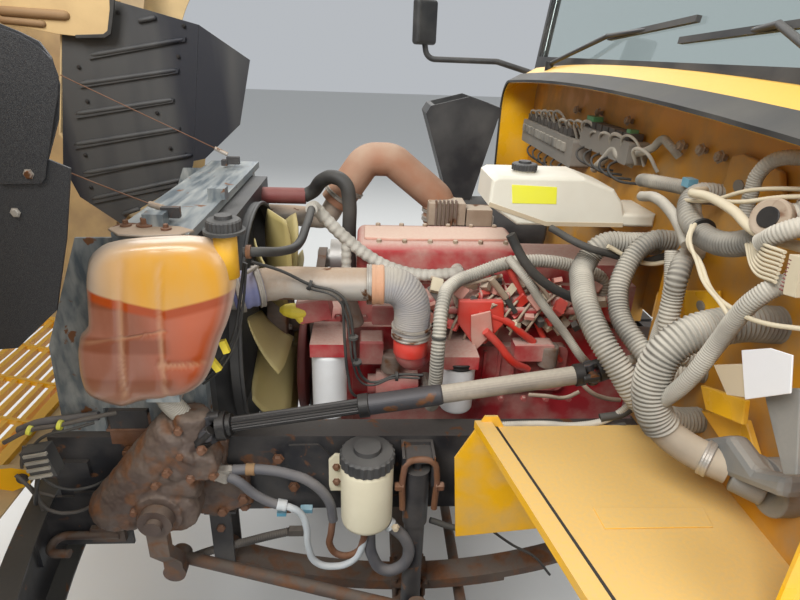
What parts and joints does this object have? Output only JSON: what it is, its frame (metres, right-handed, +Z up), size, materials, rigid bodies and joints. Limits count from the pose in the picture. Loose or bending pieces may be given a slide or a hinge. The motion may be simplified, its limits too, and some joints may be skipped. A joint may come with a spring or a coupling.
{
  "type": "school bus front end with open engine compartment",
  "caption": "Front end of a conventional school bus: frame, steered axle, engine, cowl and windshield, with its one-piece hood tilted forward.",
  "frame": {"origin": "middle of the rear crossmember's rear face, at half the height of the frame rails", "axes": "+X forward, +Y to the bus's left, +Z up"},
  "size_m": [2.8986, 2.8596, 2.8209],
  "materials": {
    "frame_paint": "black chassis paint, dusty, rust at the edges",
    "axle_rust": "brown rust over old black paint",
    "casting_dirty": "oily cast iron with rust and dirt",
    "engine_red": "red engine paint, dusty on top",
    "turbo_iron": "bare cast iron, heat browned",
    "alloy": "cast aluminium, dull",
    "bus_yellow": "school bus yellow, gloss with dust",
    "fibreglass": "yellow outside, tan moulded inside",
    "black_plastic": "black plastic, dusty",
    "white_plastic": "translucent white plastic, yellowed",
    "amber_plastic": "translucent amber tank with orange coolant",
    "cream_plastic": "cream plastic",
    "header_metal": "blue-grey metal under dust",
    "core": "finned aluminium core",
    "fan_plastic": "beige nylon fan",
    "brown_rubber": "brown silicone hose",
    "hose_grey": "grey ribbed hose",
    "rubber": "black rubber",
    "tyre": "black tyre",
    "wheel_paint": "black painted steel disc wheel",
    "filter_white": "white painted can",
    "glass": "tinted safety glass",
    "lamp": "clear lamp lens",
    "shaft_black": "oily black shaft"
  },
  "bodies": {
    "root": {"air_cleaner": "black_plastic", "air_pipe": "rubber", "alternator": "alloy", "belt_drive": "casting_dirty", "bumper": "frame_paint", "charge_elbow": "hose_grey", "charge_pipes": "alloy", "coolant_hoses": "rubber", "cowl": "bus_yellow", "crossmembers": "frame_paint", "engine_block": "engine_red", "fan_shroud": "black_plastic", "filter_heads": "engine_red", "filters": "filter_white", "firewall": "bus_yellow", "flywheel_housing": "alloy", "frame_rails": "frame_paint", "front_axle": "axle_rust", "hood_seal": "rubber", "inner_fenders": "bus_yellow", "intake_elbow": "brown_rubber", "intake_manifold": "engine_red", "junction_box": "hose_grey", "leaf_springs": "axle_rust", "loom_hoses": "hose_grey", "mirrors": "black_plastic", "oil_pan": "frame_paint", "radiator_cores": "core", "radiator_support": "header_metal", "shock_absorbers": "frame_paint", "steering_gear": "casting_dirty", "steering_reservoir": "cream_plastic", "steering_shaft": "shaft_black", "surge_tank": "amber_plastic", "tank_caps": "black_plastic", "tow_hooks": "casting_dirty", "turbocharger": "turbo_iron", "valve_cover": "engine_red", "washer_tank": "white_plastic", "windshield_frame": "black_plastic", "windshield_glass": "glass", "wipers": "black_plastic"},
    "hood": {"hood_shell": "fibreglass", "grille": "bus_yellow", "headlamps": "lamp", "hood_liners": "black_plastic"},
    "fan": {"fan": "fan_plastic"},
    "left_knuckle": {"knuckle_left": "axle_rust"},
    "right_knuckle": {"knuckle_right": "axle_rust"},
    "tie_rod": {"tie_rod": "axle_rust"},
    "left_wheel": {"tyre_left": "tyre", "wheel_left": "wheel_paint", "hub_left": "casting_dirty"},
    "right_wheel": {"tyre_right": "tyre", "wheel_right": "wheel_paint", "hub_right": "casting_dirty"},
    "pitman_arm": {"pitman_arm": "casting_dirty"},
    "drag_link": {"drag_link": "axle_rust"}
  },
  "joints": [
    {"name": "hood_tilt", "type": "hinge", "parent": "root", "child": "hood", "pos_m": [2.12, 0, 0.03], "axis": [0, 1, 0], "range_deg": [-78, 0]},
    {"name": "fan_spin", "type": "hinge", "parent": "root", "child": "fan", "pos_m": [1.48, 0, 0.29], "axis": [1, 0, 0], "continuous": true},
    {"name": "steer_left", "type": "hinge", "parent": "root", "child": "left_knuckle", "pos_m": [1.05, 0.86, -0.44], "axis": [0, 0, 1], "range_deg": [-35, 35]},
    {"name": "steer_right", "type": "hinge", "parent": "root", "child": "right_knuckle", "pos_m": [1.05, -0.86, -0.44], "axis": [0, 0, 1], "range_deg": [-36, 36]},
    {"name": "tie_rod_ball", "type": "hinge", "parent": "left_knuckle", "child": "tie_rod", "pos_m": [0.87, 0.86, -0.56], "axis": [0, 0, 1], "range_deg": [-36, 36]},
    {"name": "pitman_swing", "type": "hinge", "parent": "root", "child": "pitman_arm", "pos_m": [1.738, 0.575, -0.02], "axis": [0, 1, 0], "range_deg": [-29, 29]},
    {"name": "drag_link_ball", "type": "hinge", "parent": "pitman_arm", "child": "drag_link", "pos_m": [1.738, 0.48, -0.27], "axis": [0, 1, 0], "range_deg": [-29, 29]},
    {"name": "wheel_spin_left", "type": "hinge", "parent": "left_knuckle", "child": "left_wheel", "pos_m": [1.05, 1.04, -0.44], "axis": [0, 1, 0], "continuous": true},
    {"name": "wheel_spin_right", "type": "hinge", "parent": "right_knuckle", "child": "right_wheel", "pos_m": [1.05, -1.04, -0.44], "axis": [0, 1, 0], "continuous": true}
  ],
  "couplings": [
    {"joint": "steer_right", "follows": "steer_left", "ratio": 1},
    {"joint": "tie_rod_ball", "follows": "steer_left", "ratio": -1},
    {"joint": "pitman_swing", "follows": "steer_left", "ratio": -0.79},
    {"joint": "drag_link_ball", "follows": "steer_left", "ratio": 0.79}
  ]
}
